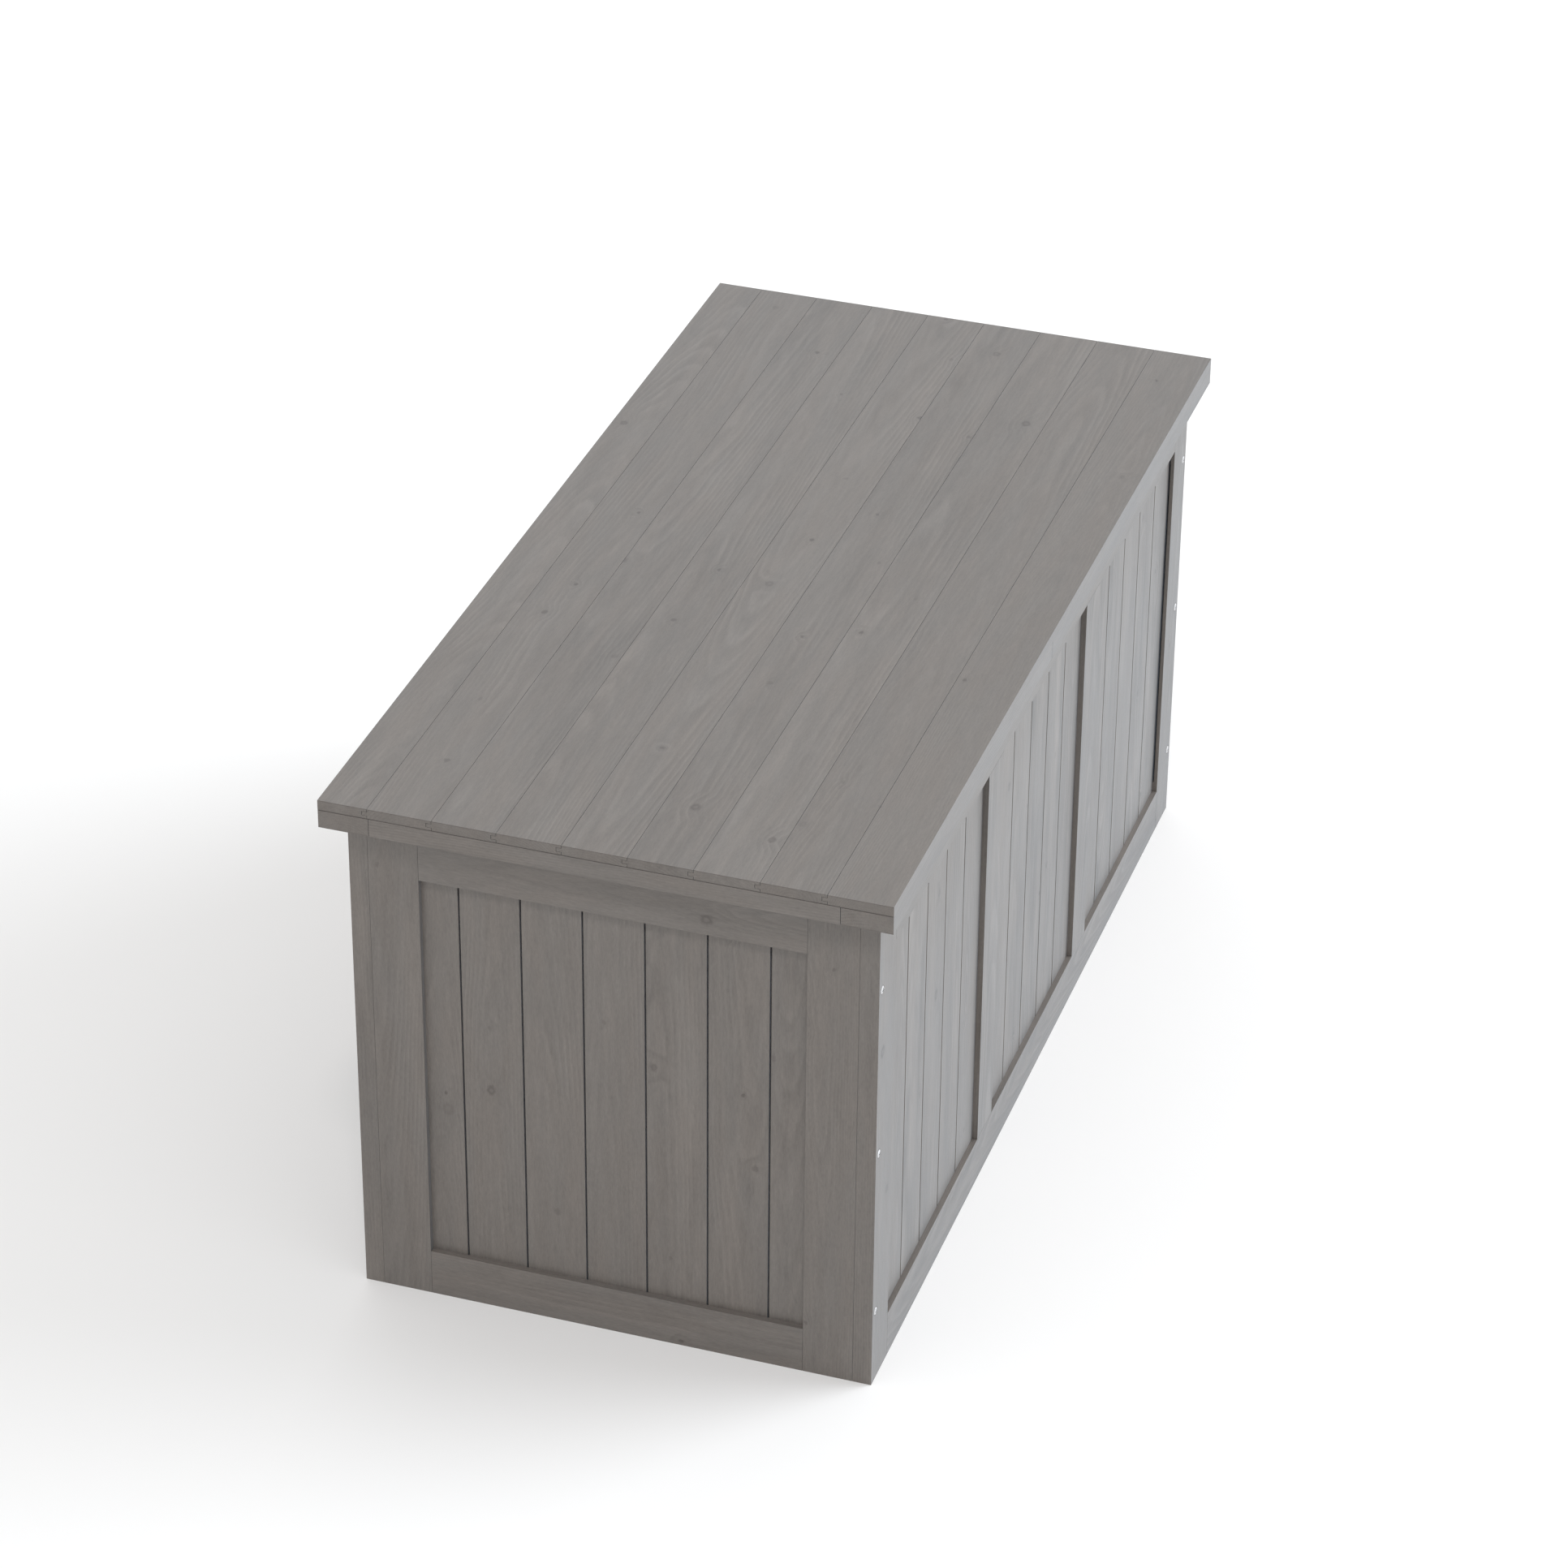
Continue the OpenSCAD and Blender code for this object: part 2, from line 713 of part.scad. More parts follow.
module strut_lid_bracket() difference() {
    union() {
        block([lid_rail_inner_x - lid_plate_thickness, lid_pivot_y - lid_plate_length / 2, wall_height + 1],
              [lid_rail_inner_x, lid_pivot_y + lid_plate_length / 2, lid_board_z - 1]);
        block([lid_rail_inner_x - lid_plate_thickness, lid_pivot_y - eye_r, lid_pivot_z],
              [lid_rail_inner_x, lid_pivot_y + eye_r, wall_height + 2]);
        translate([lid_rail_inner_x - lid_plate_thickness, lid_pivot_y, lid_pivot_z]) {
            rotate([0, 90, 0]) cylinder(h = lid_plate_thickness, r = eye_r);
            stud(lid_rail_inner_x - lid_plate_thickness - strut_x, eye_r - 1);
        }
    }
    at_lid_bracket_screws() small_hole();
}

module strut_wall_brackets() color(black_steel) at_both_ends() strut_wall_bracket();
module strut_lid_brackets() color(black_steel) at_both_ends() strut_lid_bracket();
module right_strut_tube() strut_tube();
module right_strut_rod() strut_rod();
module left_strut_tube() mirror([1, 0, 0]) strut_tube();
module left_strut_rod() mirror([1, 0, 0]) strut_rod();

module wall_hardware_screws() color(zinc) {
    at_wall_leaf_screws() small_screw();
    at_both_ends() at_wall_bracket_screws() small_screw();
}

module lid_hardware_screws() color(zinc) {
    at_lid_leaf_screws() small_screw();
    at_both_ends() at_lid_bracket_screws() small_screw();
}

front_left_stile();
front_right_stile();
front_inner_left_stile();
front_inner_right_stile();
front_top_rail();
front_bottom_rail();
front_left_boards();
front_middle_boards();
front_right_boards();
back_left_stile();
back_right_stile();
back_inner_left_stile();
back_inner_right_stile();
back_top_rail();
back_bottom_rail();
back_left_boards();
back_middle_boards();
back_right_boards();
left_end_front_stile();
left_end_back_stile();
left_end_top_rail();
left_end_bottom_rail();
left_end_boards();
right_end_front_stile();
right_end_back_stile();
right_end_top_rail();
right_end_bottom_rail();
right_end_boards();
frame_dowels();
corner_screws();
floor_boards();
floor_cleats();
floor_middle_bearer();
cleat_screws();
hinge_wall_leaves();
hinge_pins();
hinge_lid_leaves();
lid_front_rail();
lid_back_rail();
lid_left_rail();
lid_right_rail();
lid_cross_battens();
lid_board_screws();
strut_wall_brackets();
strut_lid_brackets();
wall_hardware_screws();
lid_hardware_screws();
left_strut_tube();
left_strut_rod();
right_strut_tube();
right_strut_rod();
for (i = [1:lid_board_count]) lid_board(i);
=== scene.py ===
"""Looks for the wooden toy box: grey-stained softwood, zinc-plated hinges and screws, two lid struts.

Metres, in the frame of the CAD model: +X along the length, the front wall faces -Y, +Z up, floor at z = 0.
"""
import itertools
import math
from collections import namedtuple

import bpy
from mathutils import Matrix, Vector


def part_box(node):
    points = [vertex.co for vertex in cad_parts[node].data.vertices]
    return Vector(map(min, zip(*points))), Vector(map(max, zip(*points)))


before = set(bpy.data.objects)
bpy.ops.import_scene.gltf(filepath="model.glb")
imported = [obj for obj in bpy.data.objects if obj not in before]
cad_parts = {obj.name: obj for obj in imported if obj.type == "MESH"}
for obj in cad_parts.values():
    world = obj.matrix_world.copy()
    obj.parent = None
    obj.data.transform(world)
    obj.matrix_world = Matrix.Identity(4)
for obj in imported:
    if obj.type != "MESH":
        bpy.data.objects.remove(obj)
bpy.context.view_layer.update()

X, Y, Z = range(3)
MM = 0.001

# ---- Camera, light and floor ----

CAMERA_PLACE = (-4.5547, -1.4695, 3.2592)
CAMERA_AZIMUTH = -71.968
CAMERA_ELEVATION = 31.574
CAMERA_ROLL = 0.551
CAMERA_LENS = 118.77
CAMERA_SENSOR = 36.0
CAMERA_CLIP = (0.1, 100.0)

# A nearly white surround, a low broad cool lamp from the front right, a small warm lamp above the left end,
# and a weak low lamp opposite the camera, which the lid reflects. Angles are in degrees.
SURROUND_COLOUR = (0.99, 1.0, 1.0)
SURROUND_STRENGTH = 0.75
LAMPS = (
    # name, azimuth, elevation, angle, strength, colour
    ("front lamp", 32.0, 12.5, 45.0, 3.82, (0.96, 1.005, 1.05)),
    ("end lamp", -72.0, 60.0, 11.0, 0.76, (1.045, 0.99, 0.97)),
    ("back lamp", 108.0, 18.0, 50.0, 0.31, (1.0, 1.0, 1.0)),
)
BACKDROP_COLOUR = (1, 1, 1, 1)
FLOOR_SIZE = 60.0
FLOOR_COLOUR = (0.90, 0.90, 0.90, 1)

# ---- Edges ----

FRAME_EDGE = 0.3 * MM
BOARD_EDGE = 0.4 * MM
LID_BOARD_EDGE = 0.2 * MM
METAL_EDGE = 0.2 * MM
NO_EDGE = 0
EDGE_SEGMENTS = 2
WELD_DISTANCE = 0.01 * MM
SHARP_ANGLE = math.radians(30)

# ---- Boards ----

WALL_BOARD_PITCH = 65 * MM
FLOOR_BOARD_COUNT = 17
FLOOR_BOARD_GAP = 2 * MM
LID_BOARD_COUNT = 9
# How strong the broad streaks are
PLAIN_STREAKS = 1.0
LONG_WALL_FRAME_STREAKS = 1.5
LONG_WALL_BOARD_STREAKS = 2.2
# Each node has numbers of its own for its boards
NUMBERS_PER_NODE = 20
# A wide pitch with a seam in the middle makes two boards of a pair of pieces, one on each side
PAIR_PITCH = 1.0
PAIR_SEAM = 0.0

# ---- Wood ----
# A range that runs downwards, such as (0.99, 0.90), gives a ramp that rises as its value falls.

# The scale is cycles a metre, in wood along the grain, across it and in depth, and elsewhere along X, Y and Z.
# The shift makes noises differ from each other.
Noise = namedtuple("Noise", "scale detail roughness shift", defaults=(2, 0.5, None))

WOOD_SPECULAR = 0.5
WOOD_ROUGHNESS = 0.46
FIBRE_ROUGHNESS = 0.25
LATE_WOOD_ROUGHNESS = -0.03
END_GRAIN_ROUGHNESS = 0.10
# Fine raised fibres give the stain a faint cool sheen at a glancing angle
FIBRE_SHEEN = 0.17
FIBRE_SHEEN_ROUGHNESS = 0.35
FIBRE_SHEEN_TINT = (0.36, 0.67, 1.0, 1)
GRAIN_RELIEF = 0.09 * MM

# Stain, in two tints that change slowly along the board
STAIN_WARM = (0.1545, 0.1365, 0.1222, 1)
STAIN_COOL = (0.1505, 0.1365, 0.1247, 1)
TINT_NOISE = Noise((8.0, 40, 40), shift=(3.1, 1.7, 0.4))
TINT_RANGE = (-0.2, 0.2)
TINT_WARM_SHARE = (0.1, 0.9)

# Knots: their places are cells stretched along the grain, and most of them are small
KNOT_COLOUR = (0.077, 0.065, 0.058, 1)
KNOT_COVER = 0.75
KNOT_CELL = (0.15, 0.085, 0.0)
KNOT_SHAPE = (0.8, 1, 0)
KNOT_RADIUS = 1.8 * MM
KNOT_RADIUS_SPREAD = 4.2 * MM
KNOT_RADIUS_POWER = 2.5
KNOT_WOBBLE = 5.0 * MM
KNOT_WOBBLE_NOISE = Noise((210, 260, 260), 3, 0.6)
CELL_HAS_KNOT = (0.36, 0.38)
KNOT_STRENGTH_RANGE = (0.0, 0.9)
KNOT_STRENGTH = (0.4, 1.0)
# Distances from a knot's centre, in radii of the knot
KNOT_REACH = (1.45, 0.6)
KNOT_HALO_REACH = (6.0, 0.8)
KNOT_HEART_REACH = (0.75, 0.25)
KNOT_HEART_RADIUS_RANGE = (3.0 * MM, 4.5 * MM)
KNOT_HEART_SHARE = 0.60

# Growth rings round a pith that lies behind the board, at a place that differs from board to board
PITH_LEAN = 0.085
PITH_ACROSS = 0.055
PITH_DEPTH = 0.022
PITH_DEPTH_SPREAD = 0.055
PITH_SWAY_ACROSS = 0.030
PITH_SWAY_DEPTH = 0.018
PITH_SWAY_NOISE = Noise((1.9, 3, 3))
RING_RIPPLE = 2.4 * MM
RING_RIPPLE_NOISE = Noise((11, 30, 30), 3, 0.55)
RING_BULGE_AT_KNOT = 4.0 * MM
RING_WIDTH = 2.0 * MM
RING_WIDTH_SPREAD = 1.6 * MM
# Rise and fall within one ring, from 0 to 1
LATE_WOOD_RISE, LATE_WOOD_FALL = (0.45, 0.80), (1.0, 0.88)
EARLY_WOOD_RISE, EARLY_WOOD_FALL = (0.0, 0.10), (0.40, 0.15)
# Rings show in some stretches and fade in others
RINGS_SHOW_NOISE = Noise((4.5, 24, 24), shift=(4.2, 2.2, 1.1))
RINGS_SHOW_RANGE = (-0.10, 0.16)
RINGS_SHOW = (0.25, 1.0)

# What each thing adds to the tone, as a share of the stain's colour. Late wood takes less stain.
BOARD_TONE = 0.040
LATE_WOOD_TONE = 0.085
EARLY_WOOD_TONE = -0.055
KNOT_HALO_TONE = -0.035
END_GRAIN_TONE = -0.04
PORE_TONE = -0.08
PORE_NOISE = Noise((60, 1100, 1100), 1, shift=(0.7, 0.2, 0.9))
PORE_RANGE = (0.20, 0.30)

# What each thing adds to the height, in shares of the relief
LATE_WOOD_HEIGHT = 0.25
KNOT_HEIGHT = -0.30

# Streaks and fibres along the grain, each with its share in the tone and in the height.
# The first layers are broad, and stronger in some boards than in others.
BROAD_LAYERS = 2
GRAIN_LAYERS = (
    (Noise((2, 24, 24), 2, 0.6, (0.0, 0.0, 0.1)), 0.26, 0.0),
    (Noise((8, 75, 75), 2, 0.6, (0.7, 0.3, 0.1)), 0.24, 0.0),
    (Noise((36, 260, 260), 2, 0.6, (1.4, 0.6, 0.1)), 0.27, 0.2),
    (Noise((170, 800, 800), 2, 0.6, (2.1, 0.9, 0.1)), 0.47, 1.0),
)
FIGURE = 0.6
FIGURE_SPREAD = 1.0

# Edges turned pale in patches, partly wear and partly a painted highlight, and stain gathered dark on the
# arrises of board ends
WORN_AND_HIGHLIGHT_COLOUR = (0.240, 0.206, 0.178, 1)
WORN_AND_HIGHLIGHT_COVER = 0.5
WORN_AND_HIGHLIGHT_NOISE = Noise((14, 60, 60), 4, 0.6, (1.3, 2.9, 0.6))
WORN_AND_HIGHLIGHT_RANGE = (-0.08, 0.14)
ARRIS_COVER = 0.40
# Ranges of a normal's largest part, and of its part along the grain
EDGE_FLATNESS = (0.99, 0.90)
END_FACING = (0.6, 0.95)
ROUNDING_RISE, ROUNDING_FALL = (0.05, 0.2), (0.99, 0.92)
# How far the dark rim of a board's end reaches in from the board's faces
RIM_INNER = 1.3 * MM
RIM_OUTER = 0.5 * MM

# How far apart the boards lie in the tree, and the step from a board's number to its second random draw
TREE_SPREAD = (9.0, 9.0, 9.0)
SECOND_DRAW = 0.37

# ---- Metals, paint and dowels ----
# Colours come in pairs: the first is where a cloudy noise is low, and the second where it is high.

CLOUD_RANGE = (-0.2, 0.2)

BRIGHT_ZINC, BRIGHT_ZINC_ROUGHNESS = (0.78, 0.79, 0.81, 1), 0.26
DULL_ZINC, DULL_ZINC_ROUGHNESS = (0.56, 0.57, 0.59, 1), 0.36
ZINC_SHADE = 0.80
ZINC_PATCH = Noise((160, 160, 160), 3)
ZINC_SCRATCH = Noise((300, 2600, 2600))
ZINC_PATCH_ROUGHNESS = 0.25
ZINC_SCRATCH_ROUGHNESS = 0.15
ZINC_RELIEF = 0.006 * MM

PAINT_COLOURS = (0.017, 0.017, 0.018, 1), (0.040, 0.039, 0.038, 1)
PAINT_PEEL = Noise((900, 900, 900))
PAINT_DUST = Noise((45, 45, 45), 4, 0.65)
PAINT_DUST_RANGE = (-0.1, 0.35)
PAINT_DUST_ROUGHNESS = 0.22
BRACKET_ROUGHNESS, BRACKET_RELIEF = 0.50, 0.03 * MM
TUBE_ROUGHNESS, TUBE_RELIEF = 0.30, 0.012 * MM

CHROME_COLOURS = (0.62, 0.63, 0.65, 1), (0.78, 0.79, 0.80, 1)
CHROME_MARK = Noise((4000, 300, 300))
CHROME_FILM = Noise((60, 60, 60), 3)
CHROME_ROUGHNESS = 0.13
CHROME_FILM_ROUGHNESS = 0.12
CHROME_MARK_ROUGHNESS = 0.06
CHROME_RELIEF = 0.004 * MM

BEECH_COLOURS = (0.44, 0.27, 0.13, 1), (0.60, 0.41, 0.22, 1)
BEECH_GRAIN = Noise((140, 140, 140), 4)
BEECH_GRAIN_RANGE = (-0.25, 0.25)
BEECH_FLECK = Noise((500, 500, 500))
BEECH_FLECK_RANGE = (0.05, 0.2)
BEECH_FLECK_COLOUR = (0.27, 0.13, 0.05, 1)
BEECH_FLECK_COVER = 0.5
BEECH_ROUGHNESS = 0.7
BEECH_RELIEF = 0.08 * MM


# ---- Node helpers ----

# Sockets of the Mix node, which has a set of them for each kind of data
MIX_FACTOR, MIX_COLOUR_A, MIX_COLOUR_B = 0, 6, 7
MIXED_COLOUR = 2


class Graph:
    """A node tree with one short method for each kind of node that it uses."""

    def __init__(self, tree):
        self.tree = tree

    def link(self, value, socket):
        """Gives a socket another node's output, or a plain value."""
        if isinstance(value, bpy.types.NodeSocket):
            self.tree.links.new(value, socket)
        else:
            socket.default_value = value

    def add(self, kind, inputs=None, **settings):
        """A node. Its inputs take numbers, vectors, or the output sockets of other nodes."""
        node = self.tree.nodes.new(kind)
        for name, value in settings.items():
            setattr(node, name, value)
        for name, value in (inputs or {}).items():
            self.link(value, node.inputs[name])
        return node

    def math(self, operation, a, b=0.0, c=0.0):
        node = self.add("ShaderNodeMath", {0: a, 1: b, 2: c}, operation=operation)
        return node.outputs[0]

    def product(self, *values):
        result = values[0]
        for value in values[1:]:
            result = self.math("MULTIPLY", result, value)
        return result

    def total(self, *values):
        result = values[0]
        for value in values[1:]:
            result = self.math("ADD", result, value)
        return result

    def centred(self, number, width):
        """A number from 0 to 1 spread over a width that has its middle at 0."""
        return self.product(self.math("SUBTRACT", number, 0.5), width)

    def vector(self, operation, a, b):
        node = self.add("ShaderNodeVectorMath", {0: a, 1: b}, operation=operation)
        return node.outputs["Vector"]

    def length(self, a):
        return self.add("ShaderNodeVectorMath", {0: a}, operation="LENGTH").outputs["Value"]

    def split(self, a):
        return self.add("ShaderNodeSeparateXYZ", {0: a}).outputs

    def join(self, x, y, z):
        return self.add("ShaderNodeCombineXYZ", {0: x, 1: y, 2: z}).outputs[0]

    def random(self, number):
        """Three random numbers from 0 to 1 that belong to a number."""
        node = self.add("ShaderNodeTexWhiteNoise", {"W": number}, noise_dimensions="1D")
        return self.split(node.outputs["Color"])

    def noise(self, place, noise):
        """Noise about 0, mostly between -0.5 and 0.5."""
        if noise.shift:
            place = self.vector("ADD", place, noise.shift)
        stretched = self.vector("MULTIPLY", place, noise.scale)
        inputs = {"Vector": stretched, "Scale": 1.0, "Detail": noise.detail, "Roughness": noise.roughness}
        node = self.add("ShaderNodeTexNoise", inputs, noise_dimensions="3D")
        return self.math("SUBTRACT", node.outputs[0], 0.5)

    def ramp(self, value, values_in, values_out=(0.0, 1.0)):
        """A smooth step between the two values out as the value crosses its range, and flat outside it."""
        inputs = {"Value": value, "From Min": values_in[0], "From Max": values_in[1],
                  "To Min": values_out[0], "To Max": values_out[1]}
        node = self.add("ShaderNodeMapRange", inputs, interpolation_type="SMOOTHSTEP")
        return node.outputs[0]

    def mix(self, factor, a, b):
        """A colour between a and b."""
        node = self.add("ShaderNodeMix", data_type="RGBA", clamp_factor=True)
        for index, value in ((MIX_FACTOR, factor), (MIX_COLOUR_A, a), (MIX_COLOUR_B, b)):
            self.link(value, node.inputs[index])
        return node.outputs[MIXED_COLOUR]

    def bump(self, height, distance):
        inputs = {"Height": height, "Distance": distance, "Strength": 1.0}
        return self.add("ShaderNodeBump", inputs).outputs[0]


def new_material(name):
    """A material with only a Principled shader: the material, its graph and the shader node."""
    material = bpy.data.materials.new(name)
    material.use_nodes = True
    return material, Graph(material.node_tree), material.node_tree.nodes["Principled BSDF"]


def shade(graph, shader, **inputs):
    """Sets the shader's inputs. In their names, an underscore stands for a space."""
    for name, value in inputs.items():
        graph.link(value, shader.inputs[name.replace("_", " ")])


def object_place(graph):
    return graph.add("ShaderNodeTexCoord").outputs["Object"]


# ---- Wood ----

def knots(g, place):
    """The knots, and the grain's disturbance round them, each from 0 to 1."""
    spots = g.vector("MULTIPLY", place, (1 / KNOT_CELL[X], 1 / KNOT_CELL[Y], 0.0))
    voronoi = g.add("ShaderNodeTexVoronoi", {"Vector": spots, "Scale": 1.0, "Randomness": 1.0},
                    voronoi_dimensions="2D")
    offset = g.vector("MULTIPLY", g.vector("SUBTRACT", spots, voronoi.outputs["Position"]), KNOT_CELL)
    distance = g.math("MULTIPLY_ADD", g.noise(place, KNOT_WOBBLE_NOISE), KNOT_WOBBLE,
                      g.length(g.vector("MULTIPLY", offset, KNOT_SHAPE)))
    size, chance, strength = g.split(voronoi.outputs["Color"])
    radius = g.math("MULTIPLY_ADD", g.math("POWER", size, KNOT_RADIUS_POWER), KNOT_RADIUS_SPREAD, KNOT_RADIUS)
    nearness = g.math("DIVIDE", distance, radius)
    present = g.product(g.ramp(chance, CELL_HAS_KNOT), g.ramp(strength, KNOT_STRENGTH_RANGE, KNOT_STRENGTH))
    heart = g.product(g.ramp(nearness, KNOT_HEART_REACH), g.ramp(radius, KNOT_HEART_RADIUS_RANGE))
    whole = g.math("SUBTRACT", g.ramp(nearness, KNOT_REACH), g.product(heart, KNOT_HEART_SHARE))
    return g.product(whole, present), g.product(g.ramp(nearness, KNOT_HALO_REACH), present)


def growth_rings(g, grain, place, first, second, halo):
    """The late and the early wood of the rings, each from 0 to 1."""
    along, across, depth = g.split(grain)
    sway = g.noise(place, PITH_SWAY_NOISE)
    lean = g.centred(second[0], PITH_LEAN)
    side = g.total(across, g.centred(second[1], PITH_ACROSS), g.product(sway, PITH_SWAY_ACROSS))
    pith_depth = g.math("MULTIPLY_ADD", second[2], PITH_DEPTH_SPREAD, PITH_DEPTH)
    behind = g.total(depth, pith_depth, g.product(along, lean), g.product(sway, PITH_SWAY_DEPTH))
    radius = g.total(g.length(g.join(side, behind, 0.0)),
                     g.product(g.noise(place, RING_RIPPLE_NOISE), RING_RIPPLE),
                     g.product(halo, RING_BULGE_AT_KNOT))
    width = g.math("MULTIPLY_ADD", first[2], RING_WIDTH_SPREAD, RING_WIDTH)
    ring = g.math("FRACT", g.math("DIVIDE", radius, width))
    showing = g.ramp(g.noise(place, RINGS_SHOW_NOISE), RINGS_SHOW_RANGE, RINGS_SHOW)
    late = g.product(g.ramp(ring, LATE_WOOD_RISE), g.ramp(ring, LATE_WOOD_FALL), showing)
    early = g.product(g.ramp(ring, EARLY_WOOD_RISE), g.ramp(ring, EARLY_WOOD_FALL), showing)
    return late, early


def make_wood_look():
    """The stained wood as a node group. Grain is (along, across, depth) in metres from the board's middle."""
    tree = bpy.data.node_groups.new("stained wood", "ShaderNodeTree")
    tree.interface.new_socket("Grain", in_out="INPUT", socket_type="NodeSocketVector")
    for name in ("Board", "Streaks", "End", "Arris", "Edge"):
        tree.interface.new_socket(name, in_out="INPUT", socket_type="NodeSocketFloat")
    tree.interface.new_socket("Color", in_out="OUTPUT", socket_type="NodeSocketColor")
    for name in ("Roughness", "Height"):
        tree.interface.new_socket(name, in_out="OUTPUT", socket_type="NodeSocketFloat")
    g = Graph(tree)
    entry = tree.nodes.new("NodeGroupInput")
    names = ("Grain", "Board", "Streaks", "End", "Arris", "Edge")
    grain, board, streaks, end, arris, edge = (entry.outputs[name] for name in names)

    # Each board is cut from another place in the tree
    first = g.random(board)
    second = g.random(g.total(board, SECOND_DRAW))
    place = g.vector("ADD", grain, g.vector("MULTIPLY", g.join(first[0], first[1], first[2]), TREE_SPREAD))

    knot, halo = knots(g, place)
    late_wood, early_wood = growth_rings(g, grain, place, first, second, halo)

    tone = g.total(
        1.0,
        g.centred(first[0], BOARD_TONE),
        g.product(late_wood, LATE_WOOD_TONE),
        g.product(early_wood, EARLY_WOOD_TONE),
        g.product(halo, KNOT_HALO_TONE),
        g.product(end, END_GRAIN_TONE),
    )
    height = g.total(g.product(late_wood, LATE_WOOD_HEIGHT), g.product(knot, KNOT_HEIGHT))
    figure = g.product(g.math("MULTIPLY_ADD", second[2], FIGURE_SPREAD, FIGURE), streaks)
    for number, (noise, tone_share, height_share) in enumerate(GRAIN_LAYERS):
        fibres = g.noise(place, noise)
        share = g.product(figure, tone_share) if number < BROAD_LAYERS else tone_share
        tone = g.math("MULTIPLY_ADD", fibres, share, tone)
        if height_share:
            height = g.math("MULTIPLY_ADD", fibres, height_share, height)
    tone = g.math("MULTIPLY_ADD", g.ramp(g.noise(place, PORE_NOISE), PORE_RANGE), PORE_TONE, tone)

    warmth = g.ramp(g.noise(place, TINT_NOISE), TINT_RANGE, TINT_WARM_SHARE)
    colour = g.vector("MULTIPLY", g.mix(warmth, STAIN_COOL, STAIN_WARM), g.join(tone, tone, tone))
    colour = g.mix(g.product(knot, KNOT_COVER), colour, KNOT_COLOUR)
    colour = g.mix(g.product(arris, ARRIS_COVER), colour, KNOT_COLOUR)
    # Rounded edges turn pale in patches: partly wear, partly a painted highlight along the edges
    worn_and_highlight = g.product(edge, g.ramp(g.noise(place, WORN_AND_HIGHLIGHT_NOISE), WORN_AND_HIGHLIGHT_RANGE), g.math("SUBTRACT", 1.0, arris))
    colour = g.mix(g.product(worn_and_highlight, WORN_AND_HIGHLIGHT_COVER), colour, WORN_AND_HIGHLIGHT_COLOUR)

    # The finest fibres come last in the layers
    roughness = g.total(WOOD_ROUGHNESS, g.product(fibres, FIBRE_ROUGHNESS),
                        g.product(late_wood, LATE_WOOD_ROUGHNESS), g.product(end, END_GRAIN_ROUGHNESS))
    g.add("NodeGroupOutput", {"Color": colour, "Roughness": roughness, "Height": height})
    return tree


WOOD_LOOK = make_wood_look()


def wood(name, along, across, origin, pitch, first_board, half_depth, streaks):
    """Stained wood with its grain along one axis, in boards a pitch wide that start at origin[across]."""
    material, g, shader = new_material(name)
    depth = 3 - along - across
    coordinates = g.add("ShaderNodeTexCoord")
    parts = g.split(g.vector("SUBTRACT", coordinates.outputs["Object"], tuple(origin)))
    boards = g.math("DIVIDE", parts[across], pitch)
    from_middle = g.centred(g.math("FRACT", boards), pitch)

    normal = [g.math("ABSOLUTE", part) for part in g.split(coordinates.outputs["Normal"])]
    flatness = g.math("MAXIMUM", g.math("MAXIMUM", normal[X], normal[Y]), normal[Z])
    end = g.ramp(normal[along], END_FACING)
    rounding = g.product(g.ramp(normal[along], ROUNDING_RISE), g.ramp(normal[along], ROUNDING_FALL))
    rim = g.ramp(g.math("ABSOLUTE", parts[depth]), (half_depth - RIM_INNER, half_depth - RIM_OUTER))

    look = g.add("ShaderNodeGroup", node_tree=WOOD_LOOK)
    g.link(g.join(parts[along], from_middle, parts[depth]), look.inputs["Grain"])
    g.link(g.total(g.math("FLOOR", boards), first_board), look.inputs["Board"])
    g.link(streaks, look.inputs["Streaks"])
    g.link(end, look.inputs["End"])
    g.link(g.math("MAXIMUM", rounding, g.product(rim, end)), look.inputs["Arris"])
    # The rounded edges, which take the pale wear and painted highlight
    g.link(g.ramp(flatness, EDGE_FLATNESS), look.inputs["Edge"])
    shade(g, shader, Base_Color=look.outputs["Color"], Roughness=look.outputs["Roughness"],
          Normal=g.bump(look.outputs["Height"], GRAIN_RELIEF), Specular_IOR_Level=WOOD_SPECULAR,
          Sheen_Weight=FIBRE_SHEEN, Sheen_Roughness=FIBRE_SHEEN_ROUGHNESS, Sheen_Tint=FIBRE_SHEEN_TINT)
    return material


# ---- Metals, paint and dowels ----

def zinc(name, colour, roughness):
    """Zinc plating: faint cloudy patches and fine scratches."""
    material, g, shader = new_material(name)
    place = object_place(g)
    patch = g.noise(place, ZINC_PATCH)
    scratch = g.noise(place, ZINC_SCRATCH)
    shaded = tuple(ZINC_SHADE * c for c in colour[:3]) + (1,)
    shade(g, shader, Metallic=1.0,
          Base_Color=g.mix(g.ramp(patch, CLOUD_RANGE), shaded, colour),
          Roughness=g.total(roughness, g.product(patch, ZINC_PATCH_ROUGHNESS),
                            g.product(scratch, ZINC_SCRATCH_ROUGHNESS)),
          Normal=g.bump(g.total(patch, scratch), ZINC_RELIEF))
    return material


def black_paint(name, roughness, relief):
    """Black paint on steel, with a faint orange-peel texture and dust in patches."""
    material, g, shader = new_material(name)
    place = object_place(g)
    dust = g.noise(place, PAINT_DUST)
    shade(g, shader,
          Base_Color=g.mix(g.ramp(dust, PAINT_DUST_RANGE), *PAINT_COLOURS),
          Roughness=g.total(roughness, g.product(dust, PAINT_DUST_ROUGHNESS)),
          Normal=g.bump(g.noise(place, PAINT_PEEL), relief))
    return material


